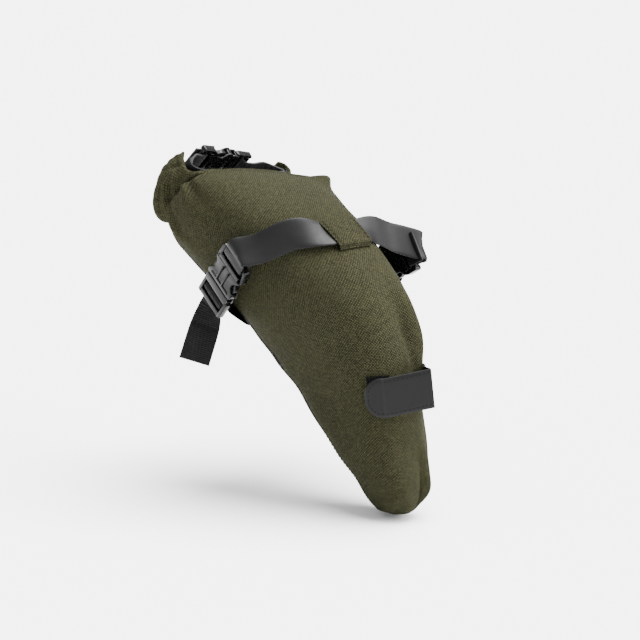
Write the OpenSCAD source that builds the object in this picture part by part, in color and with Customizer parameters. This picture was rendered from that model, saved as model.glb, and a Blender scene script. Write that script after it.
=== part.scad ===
// Roll-top saddle bag that straps to a bicycle's saddle rails and seat post.
// X points forwards, Y to the rider's left and Z up. The origin is on the seat post's
// axis, at the height of the strap that goes round the post. Millimetres.

/* [Cloth] */
// Thickness of the outer cloth
cloth_t = 1.6; // [1.2:0.1:1.8]
// Thickness of the waterproof liner
liner_t = 1.0; // [0.8:0.1:1.2]
// Thickness of the board that keeps the belly flat
board_t = 1.2; // [0.8:0.1:1.4]
// Half the angle of the section that the belly panel covers, in degrees
belly_angle = 62; // [50:2:70]

/* [Straps] */
// Width of the rail strap and of the webbing
strap_w = 25; // [22:1:26]
// Thickness of the coated rail strap
strap_t = 1.8; // [1.4:0.1:2]
// Thickness of the woven webbing
web_t = 1.5; // [1.2:0.1:1.6]
// Width of the strap that closes round the seat post
post_strap_w = 30; // [26:1:34]
// Length of each free webbing tail
tail_len = 44; // [30:1:50]

/* [Buckles] */
// Width of a side-release buckle
buckle_w = 34; // [33:0.5:36]
// Thickness of a side-release buckle
buckle_t = 10; // [9.5:0.5:11]
// Distance that a prong's pivot stands from the buckle's centre line
prong_y = 10; // [9.5:0.5:10.5]

/* [Roll] */
// Width of the rolled band across the mouth
roll_w = 52; // [46:1:54]
// Thickness of the rolled band
roll_t = 7; // [5:0.5:8]

/* [Hidden] */

olive = "#4d4f34";
charcoal = "#39383b";
black = "#1c1c1e";

gap = 0.3;

// ---------------------------------------------------------------- body sections
// Each section lies across the bag between a back point (on the belly) and a front
// point (against the saddle and the seat post), from the nose to the mouth:
// front x, front z, back x, back z, half width, squareness, place of the widest line,
// and the twist about the spine in degrees.
SECTIONS = [
    [-18, -107,  -34, -108,  7, 2.0, 0.50,  0],
    [ -5,  -97,  -44,  -95, 16, 2.2, 0.50,  0],
    [  1,  -76,  -63,  -75, 23, 2.4, 0.55,  0],
    [ -3,  -45,  -89,  -50, 29, 2.6, 0.55,  0],
    [-11,   -5, -120,  -18, 33, 2.7, 0.55,  0],
    [-18,   35, -146,    2, 39, 2.6, 0.50,  0],
    [-34,   70, -166,   18, 45, 2.5, 0.50,  0],
    [-80,  109, -184,   38, 54, 2.4, 0.50,  0],
    [-124, 128, -204,   60, 64, 2.6, 0.50,  3],
    [-162, 141, -219,   82, 76, 3.3, 0.50,  7],
    [-189, 145, -227,  105, 75, 3.4, 0.50, 10],
];
last = len(SECTIONS) - 1;

function clamp(i) = max(0, min(last, i));

// Catmull-Rom blend of four values
function blend(a, b, c, d, f) =
    0.5 * ((2 * b) + (c - a) * f + (2 * a - 5 * b + 4 * c - d) * f * f
           + (3 * b - a - 3 * c + d) * f * f * f);

// The section at t, where 0 is the nose and 1 is the mouth
function section(t) =
    let (x = t * last, i = min(last - 1, floor(x)), f = x - i)
    blend(SECTIONS[clamp(i - 1)], SECTIONS[i], SECTIONS[i + 1], SECTIONS[clamp(i + 2)], f);

function power(c, e) = (c < 0 ? -1 : 1) * pow(abs(c), e);

// A point of the skin at t and at an angle from the front, moved in by depth
function skin(t, angle, depth) =
    let (s = section(t),
         front = [s[0], 0, s[1]],
         back = [s[2], 0, s[3]],
         thick = norm(front - back),
         along = (front - back) / thick,
         c = power(cos(angle), 2 / s[5]),
         k = thick * s[6],
         reach = (c > 0 ? (thick - k - depth) * c : (k - depth) * c) + k - thick / 2,
         side = (s[4] - depth) * power(sin(angle), 2 / s[5]))
    (front + back) / 2 + along * (reach * cos(s[7]) - side * sin(s[7]))
    + [0, side * cos(s[7]) + reach * sin(s[7]), 0];

// ---------------------------------------------------------------- mesh helpers
function quad(a, b, c, d) = [[a, b, c], [a, c, d]];

// A sheet over part of the skin, between two depths, as one closed solid
module sheet(outer, inner, t0, t1, a0, a1, nt, na) {
    rows = nt + 1;
    cols = na + 1;
    grid = [for (depth = [outer, inner]) for (i = [0:nt]) for (j = [0:na])
            skin(t0 + (t1 - t0) * i / nt, a0 + (a1 - a0) * j / na, depth)];
    n = rows * cols;
    faces = concat(
        [for (i = [0:nt - 1]) for (j = [0:na - 1]) let (a = i * cols + j)
            each quad(a, a + cols, a + cols + 1, a + 1)],
        [for (i = [0:nt - 1]) for (j = [0:na - 1]) let (a = n + i * cols + j)
            each quad(a, a + 1, a + cols + 1, a + cols)],
        [for (j = [0:na - 1]) each quad(j, j + 1, n + j + 1, n + j)],
        [for (j = [0:na - 1]) let (a = nt * cols + j) each quad(a + 1, a, n + a, n + a + 1)],
        [for (i = [0:nt - 1]) let (a = i * cols) each quad(a + cols, a, n + a, n + a + cols)],
        [for (i = [0:nt - 1]) let (a = i * cols + na)
            each quad(a, a + cols, n + a + cols, n + a)]);
    polyhedron(points = grid, faces = faces);
}

// A cup that follows the skin all round, closed at the nose and open at the mouth
module cup(outer, inner, t0, floor_step, nt, na) {
    grid = [for (k = [0, 1]) for (i = [0:nt]) for (j = [0:na - 1])
            skin(t0 + k * floor_step + (1 - t0 - k * floor_step) * i / nt,
                 360 * j / na, k == 0 ? outer : inner)];
    n = (nt + 1) * na;
    middle = [for (k = [0, 1]) (skin(t0 + k * floor_step, 0, k == 0 ? outer : inner)
              + skin(t0 + k * floor_step, 180, k == 0 ? outer : inner)) / 2];
    faces = concat(
        [for (i = [0:nt - 1]) for (j = [0:na - 1])
            let (a = i * na + j, b = i * na + (j + 1) % na) each quad(a, a + na, b + na, b)],
        [for (i = [0:nt - 1]) for (j = [0:na - 1])
            let (a = n + i * na + j, b = n + i * na + (j + 1) % na)
            each quad(a, b, b + na, a + na)],
        [for (j = [0:na - 1]) [j, (j + 1) % na, 2 * n]],
        [for (j = [0:na - 1]) [n + (j + 1) % na, n + j, 2 * n + 1]],
        [for (j = [0:na - 1]) let (a = nt * na + j, b = nt * na + (j + 1) % na)
            each quad(a, n + a, n + b, b)]);
    polyhedron(points = concat(grid, middle), faces = faces);
}

function unit(a) = a / norm(a);

// A route point is [place, direction across the band]
function spline(route, x) =
    let (n = len(route) - 1, i = min(n - 1, floor(x)), f = x - i)
    blend(route[max(0, i - 1)], route[i], route[i + 1], route[min(n, i + 2)], f);

// A flat band that is swept along a route, with steps rings between two route points
module band(route, width, thick, steps = 4) {
    count = (len(route) - 1) * steps;
    rings = [for (k = [0:count])
        let (x = k / steps,
             here = spline(route, x),
             way = spline(route, min(len(route) - 1, x + 0.05))[0]
                   - spline(route, max(0, x - 0.05))[0],
             flat = unit(cross(way, here[1])),
             side = unit(cross(flat, way)) * width / 2,
             up = flat * thick / 2)
        each [here[0] - side - up, here[0] + side - up,
              here[0] + side + up, here[0] - side + up]];
    faces = concat(
        [for (k = [0:count - 1]) for (j = [0:3])
            let (a = k * 4 + j, b = k * 4 + (j + 1) % 4) each quad(a, a + 4, b + 4, b)],
        quad(0, 1, 2, 3),
        quad(count * 4 + 3, count * 4 + 2, count * 4 + 1, count * 4));
    polyhedron(points = rings, faces = faces);
}

// ---------------------------------------------------------------- places
// The mouth's own directions: out of it, across it from back to front, and sideways
crest = [SECTIONS[last][0], 0, SECTIONS[last][1]];
mouth_back = [SECTIONS[last][2], 0, SECTIONS[last][3]];
mouth_twist = SECTIONS[last][7];
straight = unit(crest - mouth_back);
out_mouth = [-straight[2], 0, straight[0]];
across_mouth = straight * cos(mouth_twist) + [0, sin(mouth_twist), 0];
side_mouth = [0, cos(mouth_twist), 0] - straight * sin(mouth_twist);

function at_mouth(y, out, over = 0) =
    (crest + mouth_back) / 2 + side_mouth * y + out_mouth * out + across_mouth * over;

// The seat post's axis leans back from the vertical
post_axis = unit([-0.156, 0, 0.988]);

// Where the rail strap crosses the ridge
strap_place = 0.69;
// How far the skin moves for a small step in t, which is the direction of the spine
function spine(t, angle, depth) = unit(skin(t + 0.02, angle, depth) - skin(t - 0.02, angle, depth));
function on_skin(t, angle, lift) = [skin(t, angle, -lift), spine(t, angle, -lift)];

// Buckle frames: the middle of the strap bar, the way along it and the way across it
near_turn = 49;
near_bar = [-130.5, -68.5, 90];
near_along = [-cos(near_turn), 0, -sin(near_turn)];
near_across = [sin(near_turn), 0, -cos(near_turn)];
far_turn = 30;
far_bar = [-75, 65.3, 89];
far_along = [-cos(far_turn), 0, -sin(far_turn)];
far_across = [-sin(far_turn), 0, cos(far_turn)];
top_bar = at_mouth(-40, 30, 8);
top_end = at_mouth(22, 25, 8);
top_along = unit(top_end - top_bar);
top_across = -across_mouth;

module place(origin, along, side) {
    out = cross(along, side);
    multmatrix([[along[0], side[0], out[0], origin[0]],
                [along[1], side[1], out[1], origin[1]],
                [along[2], side[2], out[2], origin[2]],
                [0, 0, 0, 1]])
        children();
}
function placed(origin, along, side, p) =
    origin + along * p[0] + side * p[1] + cross(along, side) * p[2];

// ---------------------------------------------------------------- buckle
// Along a buckle, from the middle of the strap bar: the shell, its windows, the mouth
// where the plug meets it, and the plug's two webbing slots
shell_start = 6;
shell_end = 28.4;
cavity_start = 9;
window_start = 11;
window_len = 12;
cavity_w = 26.4;
cavity_t = 5.2;
plug_start = 28.8;
pivot_x = 30.6;
pivot_r = 1.5;
slot_w = 26;
bar_t = 3.4;
plug_end = 51.5;
prong_t = 4.2;
head_x = 13.4;

module rounded_plate(x0, x1, wide, thick, r) {
    translate([x0, 0, -thick / 2])
        linear_extrude(thick)
            hull()
                for (x = [r, x1 - x0 - r], y = [-wide / 2 + r, wide / 2 - r])
                    translate([x, y])
                        circle(r, $fn = 32);
}

module buckle_socket() {
    color(black)
    difference() {
        rounded_plate(-2.6, shell_end, buckle_w, buckle_t, 3);
        // slot for the strap, and the hollow that takes the plug
        translate([2, -slot_w / 2, -buckle_t])
            cube([shell_start - 2.4, slot_w, 2 * buckle_t]);
        translate([-bar_t, -slot_w / 2, 2])
            cube([bar_t + 3, slot_w, buckle_t]);
        translate([-bar_t, -slot_w / 2, -2 - buckle_t])
            cube([bar_t + 3, slot_w, buckle_t]);
        translate([cavity_start, -cavity_w / 2, -cavity_t / 2])
            cube([shell_end, cavity_w, cavity_t]);
        for (side = [-1, 1])
            translate([window_start, side * buckle_w / 2 - 5, -cavity_t / 2 - 0.6])
                cube([window_len, 10, cavity_t + 1.2]);
    }
}

module buckle_plug() {
    color(black)
    difference() {
        union() {
            rounded_plate(plug_start, plug_end, buckle_w - 1, buckle_t - 2, 4);
            translate([window_start + 4, -1.5, -prong_t / 2])
                cube([plug_start - window_start, 3, prong_t]);
        }
        // pockets where the prongs are rooted
        for (side = [-1, 1])
            translate([pivot_x, side * prong_y, -prong_t / 2 - gap]) {
                cylinder(r = pivot_r + gap, h = prong_t + 2 * gap, $fn = 48);
                translate([-4, -pivot_r - 0.9, 0])
                    cube([4, 2 * pivot_r + 1.8, prong_t + 2 * gap]);
            }
        // two slots that the webbing threads through, with the locking bar between them
        translate([36.5, -slot_w / 2, -buckle_t])
            cube([3.8, slot_w, 2 * buckle_t]);
        translate([43.2, -slot_w / 2, -buckle_t])
            cube([3.8, slot_w, 2 * buckle_t]);
        translate([38, -slot_w / 2, 1.2])
            cube([8, slot_w, buckle_t]);
    }
}

// One prong, on the side that is given as 1 or -1
module buckle_prong(side) {
    outline = [[pivot_x, prong_y - 1.4], [head_x + 5, 8.4], [head_x, 9],
               [head_x - 0.6, 11.4], [head_x + 3, 14.6], [head_x + 6, 15.4],
               [head_x + 9.2, 14.6], [head_x + 9.2, 12], [head_x + 10.4, 11.2],
               [pivot_x, prong_y + 1.4]];
    color(black)
        translate([0, 0, -prong_t / 2]) {
            translate([pivot_x, side * prong_y, 0])
                cylinder(r = pivot_r, h = prong_t, $fn = 48);
            linear_extrude(prong_t)
                polygon([for (p = outline) [p[0], side * p[1]]]);
        }
}

// ---------------------------------------------------------------- bag
board_depth = cloth_t + 0.5;
liner_depth = board_depth + board_t + 0.6;

module main_panel() {
    color(olive)
        sheet(0, cloth_t, 0, 1, belly_angle - 180, 180 - belly_angle, 30, 32);
}

module belly_panel() {
    color(black)
        sheet(0, cloth_t, 0, 1, 180 - belly_angle + 1, 180 + belly_angle - 1, 30, 14);
}

module seam_tape() {
    color(black)
        for (seam = [180 - belly_angle, 180 + belly_angle])
            sheet(board_depth, board_depth + board_t, 0.1, 0.97, seam - 9, seam + 9, 24, 2);
}

module belly_board() {
    color("dimgray")
        sheet(board_depth, board_depth + board_t, 0.12, 0.93,
              180 - belly_angle + 12, 180 + belly_angle - 12, 20, 10);
}

module liner() {
    color("lightgray")
        cup(liner_depth, liner_depth + liner_t, 0.08, 0.012, 26, 28);
}

patch_t = 1;
patch_lift = 4.9;

module strap_patch() {
    color(olive)
        sheet(-patch_lift - patch_t, -patch_lift, strap_place - 0.03, strap_place + 0.03, -11, 11, 4, 6);
}

// Along and out of a buckle: the strap's loop round the socket's bar, and the webbing's
// way through the plug's two slots, from the end that the tail hangs from
STRAP_LOOP = [[-10, 3.9], [-4, 3.5], [0.8, 3.4], [3.3, 2.4], [4, 0],
              [3.3, -2.4], [0.8, -3.4], [-4, -3.4], [-12, -2]];
WEB_WAY = [[52.3, -5.4], [47, -5.3], [45.4, -2.8], [45.2, -0.5], [44.3, 1.5], [41.75, 2.4],
           [39.2, 1.5], [38.3, -0.5], [38.4, -3.2], [40.2, -6], [44, -8.8], [50, -11]];

// The band's own direction across may run against the buckle's, with a sense of -1
function on_buckle(way, origin, along, side, sense = 1) =
    [for (p = way) [placed(origin, along, side, [p[0], 0, p[1]]), side * sense]];
function reversed(list) = [for (i = [len(list) - 1:-1:0]) list[i]];

strap_lift = gap + strap_t / 2 + 0.2;
web_lift = gap + web_t / 2 + 0.2;

module rail_strap() {
    near_end = on_buckle(STRAP_LOOP, near_bar, near_along, near_across, -1);
    far_end = on_buckle(STRAP_LOOP, far_bar, far_along, far_across);
    color(charcoal)
        band(concat(reversed(far_end),
                    [[[-78, 49.5, 101.5], far_across],
                     [[-81, 33, 108.5], far_across],
                     on_skin(strap_place, 14, strap_lift + 0.6),
                     on_skin(strap_place, 0, strap_lift + 0.3),
                     on_skin(strap_place, -14, strap_lift + 0.6),
                     [[-94.5, -40, 113], [-0.55, -0.2, 0.8]],
                     [[-112, -60.5, 101], [-0.62, -0.05, 0.78]]],
                    near_end), strap_w, strap_t, 4);
}

// The webbing's way round the belly: place along the bag, angle, and extra lift
BELLY_WAY = [[0.685, -150, 1.6], [0.677, -165, 0.8], [0.668, -180, 0.8], [0.66, -200, 0.8],
             [0.655, -218, 0.8], [0.655, -234, 3]];

module belly_webbing() {
    near_way = on_buckle(WEB_WAY, near_bar, near_along, near_across, -1);
    far_way = on_buckle(WEB_WAY, far_bar, far_along, far_across);
    color(black)
        band(concat(near_way,
                    [[[-168, -47, 45], [-0.74, -0.1, 0.66]]],
                    [for (p = BELLY_WAY) on_skin(p[0], p[1], web_lift + p[2])],
                    [[[-129, 56, 55], far_across]],
                    reversed(far_way)), strap_w, web_t, 3);
}

module near_tail() {
    start = placed(near_bar, near_along, near_across, [55, 0, -5.2]);
    hang = unit([-0.04, -0.37, -0.93]);
    color(black)
        band([[start, near_across],
              [start + near_along * 5 + [0, -0.8, 0], near_across],
              [start + near_along * 7 + hang * 12, [0.7, 0.3, -0.62]],
              [start + near_along * 6 + hang * tail_len * 0.6, [0.66, 0.45, -0.58]],
              [start + near_along * 5 + hang * tail_len, [0.64, 0.54, -0.54]]],
             strap_w, web_t, 4);
}

module far_tail() {
    start = placed(far_bar, far_along, far_across, [53.6, 0, -5.2]);
    hang = unit([-0.6, 0.35, -0.7]);
    color(black)
        band([[start, far_across],
              [start + far_along * 5 + [0, 0.8, 0], far_across],
              [start + far_along * 8 + hang * 12, [-0.6, 0.1, 0.8]],
              [start + far_along * 8 + hang * tail_len * 0.6, [-0.66, 0.16, 0.74]],
              [start + far_along * 8 + hang * tail_len, [-0.7, 0.2, 0.68]]],
             strap_w, web_t, 4);
}

// ---------------------------------------------------------------- buckles in place
module near_buckle() {
    place(near_bar, near_along, near_across)
        children();
}
module far_buckle() {
    place(far_bar, far_along, far_across)
        children();
}
module top_buckle() {
    place(top_bar, top_along, top_across)
        children();
}

// ---------------------------------------------------------------- rolled mouth
// The band's middle line seen along the mouth: sideways, and out of the mouth
RING = [[-54, 31], [-62, 26], [-66, 19], [-65, 12], [-57, 7], [-40, 5], [0, 5],
        [32, 5], [47, 7], [54, 11], [56, 16], [53, 20], [47, 22]];

// A point of the ring, moved towards its inside by lift
function ring(i, lift) =
    let (a = RING[max(0, i - 1)], b = RING[min(len(RING) - 1, i + 1)],
         way = unit(b - a))
    RING[i] + [-way[1], way[0]] * lift;
function ring_route(first, final, lift, over) =
    [for (i = [first:final]) let (p = ring(i, lift)) [at_mouth(p[0], p[1], over), across_mouth]];

// The roll lies a little towards the belly side of the mouth's middle
roll_over = -5;
stiffener_t = 1.4;
tab_t = 1.5;
stiffener_lift = roll_t / 2 + gap + stiffener_t / 2;
tab_lift = stiffener_lift + stiffener_t / 2 + gap + tab_t / 2;
tab_over = 8;

module roll_top() {
    color(olive)
        band(ring_route(0, len(RING) - 1, 0, roll_over), roll_w, roll_t, 4);
}

module mouth_stiffener() {
    color(black)
        band(ring_route(1, len(RING) - 2, stiffener_lift, roll_over), roll_w - 3,
             stiffener_t, 4);
}

module near_wing_tab() {
    color(black)
        band(concat(ring_route(2, 2, tab_lift, tab_over),
                    ring_route(1, 1, tab_lift, tab_over),
                    on_buckle([[-9, -3.4], [-4, -3.4], [0.8, -3.4], [3.3, -2.4], [4, 0],
                               [3.3, 2.4], [0.8, 3.4], [-5, 3.4]],
                              top_bar, top_along, top_across, -1)),
             strap_w - 3, tab_t, 4);
}

module far_wing_tab() {
    lap = [[28, 22.5], [37, 19.5], [45, 16.2], [48, 14.8], [46, 13.2], [41, 12.5]];
    color(black)
        band(concat(on_buckle([[54, 5], [50, 5.1], [47, 5.1], [45.5, 4.2], [45.1, 2],
                               [45.1, -2], [45.5, -4.2], [47, -5.1], [50, -5.1], [55, -5]],
                              top_bar, top_along, top_across, -1),
                    [for (p = lap) [at_mouth(p[0], p[1], tab_over), across_mouth]]),
             strap_w - 3, tab_t, 4);
}

// ---------------------------------------------------------------- seat post strap
// The strap lies in the plane that the seat post's axis is square to
post_forward = [-post_axis[2], 0, post_axis[0]] * -1;
function at_post(f, y) = post_forward * f + [0, y, 0];
function post_route(list) = [for (p = list) [at_post(p[0], p[1]), post_axis]];

flap_t = 1.8;
hook_t = 1.0;
loop_t = 1.2;
fold = [9.4, 7.4];
// Where the strap meets the skin, and how far the flap's middle stands off it
post_place = 0.4;
flap_lift = 2 * gap + loop_t + hook_t + flap_t / 2 + 0.6;

module post_strap_flap() {
    color(charcoal)
        band(concat([for (a = [-54, -46, -34, -24]) [skin(post_place, a, -flap_lift), post_axis]],
                    post_route([[fold[0], fold[1]]])), post_strap_w, flap_t, 4);
}

module post_strap_base() {
    color(charcoal)
        band(post_route([[-34, 33.8], [-25, 31.6], [-15.5, 25.5], [-8.5, 17.5], [0, 12.6],
                         [fold[0] - 2.1, fold[1] + 1]]), post_strap_w, flap_t, 4);
}

module loop_patch() {
    color(black)
        sheet(-gap - loop_t, -gap, 0.355, 0.445, -52, -14, 6, 10);
}

module hook_tape() {
    color(black)
        sheet(-2 * gap - loop_t - hook_t, -2 * gap - loop_t, 0.368, 0.432, -48, -22, 5, 8);
}

// ---------------------------------------------------------------- the assembly
main_panel();
belly_panel();
liner();
belly_board();
seam_tape();
strap_patch();
rail_strap();
belly_webbing();
near_tail();
far_tail();
near_buckle() buckle_socket();  // near_buckle_socket
near_buckle() buckle_plug();  // near_buckle_plug
near_buckle() buckle_prong(1);  // near_prong_front
near_buckle() buckle_prong(-1);  // near_prong_rear
far_buckle() buckle_socket();  // far_buckle_socket
far_buckle() buckle_plug();  // far_buckle_plug
far_buckle() buckle_prong(-1);  // far_prong_front
far_buckle() buckle_prong(1);  // far_prong_rear
roll_top();
mouth_stiffener();
near_wing_tab();
far_wing_tab();
top_buckle() buckle_socket();  // top_buckle_socket
top_buckle() buckle_plug();  // top_buckle_plug
top_buckle() buckle_prong(-1);  // top_prong_front
top_buckle() buckle_prong(1);  // top_prong_rear
post_strap_base();
post_strap_flap();
hook_tape();
loop_patch();
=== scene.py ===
"""Roll-top saddle bag: the cloth, straps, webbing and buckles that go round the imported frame.

Shapes are worked out in millimetres, in the frame's own axes, and become metres in the mesh.
"""

import math

import bpy
import numpy as np
from bpy.props import FloatProperty, FloatVectorProperty, PointerProperty
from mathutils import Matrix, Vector


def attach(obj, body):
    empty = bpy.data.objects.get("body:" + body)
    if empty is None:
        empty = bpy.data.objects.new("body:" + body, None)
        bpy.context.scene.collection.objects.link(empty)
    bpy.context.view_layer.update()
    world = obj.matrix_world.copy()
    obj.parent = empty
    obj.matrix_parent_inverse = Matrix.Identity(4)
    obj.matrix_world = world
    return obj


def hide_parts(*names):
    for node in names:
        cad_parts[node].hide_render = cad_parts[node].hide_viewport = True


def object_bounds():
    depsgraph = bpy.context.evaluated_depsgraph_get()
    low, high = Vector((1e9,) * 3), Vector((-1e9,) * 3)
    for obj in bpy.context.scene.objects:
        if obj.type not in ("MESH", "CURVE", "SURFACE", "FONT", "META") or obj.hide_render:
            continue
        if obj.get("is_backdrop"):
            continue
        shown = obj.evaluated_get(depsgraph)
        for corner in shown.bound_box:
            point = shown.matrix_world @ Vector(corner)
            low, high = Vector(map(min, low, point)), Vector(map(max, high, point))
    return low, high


bl_info = {
    "name": "Roll-top saddle bag",
    "version": (1, 0, 0),
    "blender": (4, 5, 0),
    "location": "3D View > Sidebar > Saddle bag",
    "description": "Makes a roll-top saddle bag with its straps, webbing and buckles",
    "category": "Object",
}

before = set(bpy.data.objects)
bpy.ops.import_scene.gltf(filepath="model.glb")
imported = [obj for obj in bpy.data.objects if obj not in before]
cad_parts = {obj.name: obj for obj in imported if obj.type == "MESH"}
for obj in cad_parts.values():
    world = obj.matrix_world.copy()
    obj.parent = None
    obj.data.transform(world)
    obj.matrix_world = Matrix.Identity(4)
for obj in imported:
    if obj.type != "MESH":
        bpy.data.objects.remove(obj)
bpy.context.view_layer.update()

# ------------------------------------------------------------------ the bag's own numbers
# front x, front z, back x, back z, half width, squareness, widest place, twist in degrees
STATIONS = np.array([
    [-18, -107, -34, -108, 7, 2.0, 0.50, 0], [-5, -97, -44, -95, 16, 2.2, 0.50, 0],
    [1, -76, -63, -75, 23, 2.4, 0.55, 0], [-3, -45, -89, -50, 29, 2.6, 0.55, 0],
    [-11, -5, -120, -18, 33, 2.7, 0.55, 0], [-18, 35, -146, 2, 39, 2.6, 0.50, 0],
    [-34, 70, -166, 18, 45, 2.5, 0.50, 0], [-80, 109, -184, 38, 54, 2.4, 0.50, 0],
    [-124, 128, -204, 60, 64, 2.6, 0.50, 3], [-162, 141, -219, 82, 76, 3.3, 0.50, 7],
    [-189, 145, -227, 105, 75, 3.4, 0.50, 10]], float)
PANEL_EDGE = 133.0  # the angle where the olive cloth meets the belly's
STRAP_AT = 0.706    # the rail strap's place along the bag
FLAP_AT = 0.4       # the post strap's place along the bag
NOSE = 0.014        # how far the rounded nose goes on below the first station
NECK = 0.05         # how far the neck under the roll goes on past the last one
POST_AXIS = np.array([-0.156, 0, 0.988]) / math.hypot(0.156, 0.988)


def unit(v):
    """Each vector over its own length."""
    v = np.asarray(v, float)
    return v / np.maximum(np.linalg.norm(v, axis=-1, keepdims=True), 1e-9)


def smooth(x, low, high):
    """Smoothstep: 0 below low, 1 above high, and 3x^2 - 2x^3 between them."""
    x = np.clip((np.asarray(x, float) - low) / (high - low), 0, 1)
    return x * x * (3 - 2 * x)


def bell(x, middle, width):
    """A Gaussian bump, 1 at its middle and e^-1 one width away."""
    return np.exp(-(((x - middle) / width) ** 2))


def catmull(points, x):
    """Catmull-Rom curve through the rows of points, at the places x, counted in rows."""
    points = np.asarray(points, float)
    n = len(points) - 1
    x = np.clip(np.asarray(x, float), 0, n)
    i = np.minimum(np.floor(x).astype(int), n - 1)
    f = (x - i)[..., None]
    a, b, c, d = (points[np.clip(i + k, 0, n)] for k in (-1, 0, 1, 2))
    return 0.5 * (2 * b + (c - a) * f + (2 * a - 5 * b + 4 * c - d) * f ** 2
                  + (3 * b - a - 3 * c + d) * f ** 3)


def skin(t, degrees, lift=0.0):
    """The bag's plain skin: a superellipse across the spine at t, at an angle from the ridge.

    reach = thickness * sign(cos) |cos|^(2/n), side = half width * sign(sin) |sin|^(2/n),
    both grown by lift, and turned by the section's twist.
    """
    t, degrees, lift = np.broadcast_arrays(np.asarray(t, float), degrees, lift)
    s = catmull(STATIONS, t * (len(STATIONS) - 1))
    front = np.stack([s[..., 0], 0 * t, s[..., 1]], -1)
    back = np.stack([s[..., 2], 0 * t, s[..., 3]], -1)
    thick = np.linalg.norm(front - back, axis=-1)
    along = (front - back) / thick[..., None]
    c, si = np.cos(np.radians(degrees)), np.sin(np.radians(degrees))
    c = np.sign(c) * np.abs(c) ** (2 / s[..., 5])
    si = np.sign(si) * np.abs(si) ** (2 / s[..., 5])
    k = thick * s[..., 6]
    reach = np.where(c > 0, (thick - k + lift) * c, (k + lift) * c) + k - thick / 2
    side = (s[..., 4] + lift) * si
    turn = np.radians(s[..., 7])
    flat = reach * np.cos(turn) - side * np.sin(turn)
    point = (front + back) / 2 + along * flat[..., None]
    point[..., 1] += side * np.cos(turn) + reach * np.sin(turn)
    return point


def folds(t, deg):
    """How far the filled cloth stands off the plain skin, in millimetres, as a sum of bells.

    Grooves run down beside the ridge, the rail strap presses a furrow, the far shoulder
    stands out, and gathers fan down from the tuck below the near wing.
    """
    t, deg = np.broadcast_arrays(np.asarray(t, float), deg)
    turned = np.mod(deg + 180, 360) - 180
    f = 0.45 * np.sin(t * 31 + deg * 0.045) * np.cos(deg * 0.07 - t * 9)
    f = f + 0.35 * np.sin(t * 57 - deg * 0.09 + 1.3) + 0.5 * np.sin(t * 17 + deg * 0.031)
    lower = 14 + 9 * np.sin(t * 14)
    groove = bell(t, 0.17, 0.10)
    f = f - 5.0 * bell(deg, lower, 7) * groove + 3.0 * bell(deg, lower + 15, 8) * groove
    upper = 11 - 60 * (t - 0.5)
    groove = bell(t, 0.52, 0.085)
    f = f - 6.4 * bell(deg, upper, 8) * groove + 3.6 * bell(deg, upper + 17, 9) * groove
    f = f - 3.0 * bell(t, 0.095, 0.035) * bell(deg, 52, 22)
    f = f + 3.6 * bell(t, 0.50, 0.10) * bell(deg, 58, 26)
    f = f + 2.6 * bell(t, 0.20, 0.10) * bell(deg, 55, 24)
    f = f - 2.6 * bell(t, 0.385, 0.028) * bell(deg, 40, 45)
    f = f - 1.5 * bell(t, 0.33, 0.03) * bell(deg, 0, 40)
    f = f + 1.6 * bell(t - 0.0012 * (deg + 20), 0.60, 0.03) * bell(deg, -30, 40)
    f = f - 1.6 * bell(t - 0.0012 * (deg + 20), 0.55, 0.025) * bell(deg, -30, 40)
    # the strap's furrow, and the cloth that swells on both sides of it
    over = bell(deg, 0, 55)
    f = f - 1.6 * bell(t, STRAP_AT, 0.035) * over + 1.3 * bell(t, STRAP_AT + 0.085, 0.035) * over
    f = f + 1.0 * bell(t, STRAP_AT - 0.085, 0.035) * over
    # shoulders at the mouth
    f = f + 11.5 * bell(t, 0.96, 0.05) * bell(deg, 48, 15)
    f = f + 3.4 * smooth(t, 0.86, 0.97) * bell(deg, -8, 42)
    f = f + 2.0 * bell(t, 0.93, 0.05) * bell(deg, -42, 18)
    # gathers under the near wing, and softer ones on the far side
    fan = smooth(t, 0.80, 0.97)
    f = f + 2.6 * fan * bell(deg, -84 - 40 * (1 - t), 7) - 2.8 * fan * bell(deg, -71, 7)
    f = f + 2.2 * fan * bell(deg, -106, 6) - 2.2 * fan * bell(deg, -96, 5)
    f = f - 2.0 * fan * bell(deg, 82, 6) + 1.8 * fan * bell(deg, 95, 7)
    # the nose is gathered into its last seam
    f = f - 7.5 * smooth(0.07 - t, 0, 0.07) * (1 - 0.35 * bell(turned, -60, 40))
    f = f + 0.6 * bell(t, 0.03, 0.03) * np.cos(np.radians(deg) * 9)
    # seams pull the cloth in
    f = f - 0.9 * bell(np.abs(turned), PANEL_EDGE, 3) * smooth(t, 0.02, 0.08)
    return f


# the mouth's own directions: out of it, sideways, and across from the belly to the ridge
CREST = np.array([STATIONS[-1, 0], 0, STATIONS[-1, 1]])
MOUTH_BACK = np.array([STATIONS[-1, 2], 0, STATIONS[-1, 3]])
_turn = math.radians(STATIONS[-1, 7])
_straight = unit(CREST - MOUTH_BACK)
OUT_MOUTH = np.array([-_straight[2], 0, _straight[0]])
ACROSS_MOUTH = _straight * math.cos(_turn) + np.array([0, math.sin(_turn), 0])
SIDE_MOUTH = np.array([0, math.cos(_turn), 0]) - _straight * math.sin(_turn)


def at_mouth(p):
    """Points given sideways, out of the mouth and across it, in the frame's axes."""
    p = np.asarray(p, float)
    return ((CREST + MOUTH_BACK) / 2 + p[..., :1] * SIDE_MOUTH + p[..., 1:2] * OUT_MOUTH
            + p[..., 2:3] * ACROSS_MOUTH)


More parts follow.
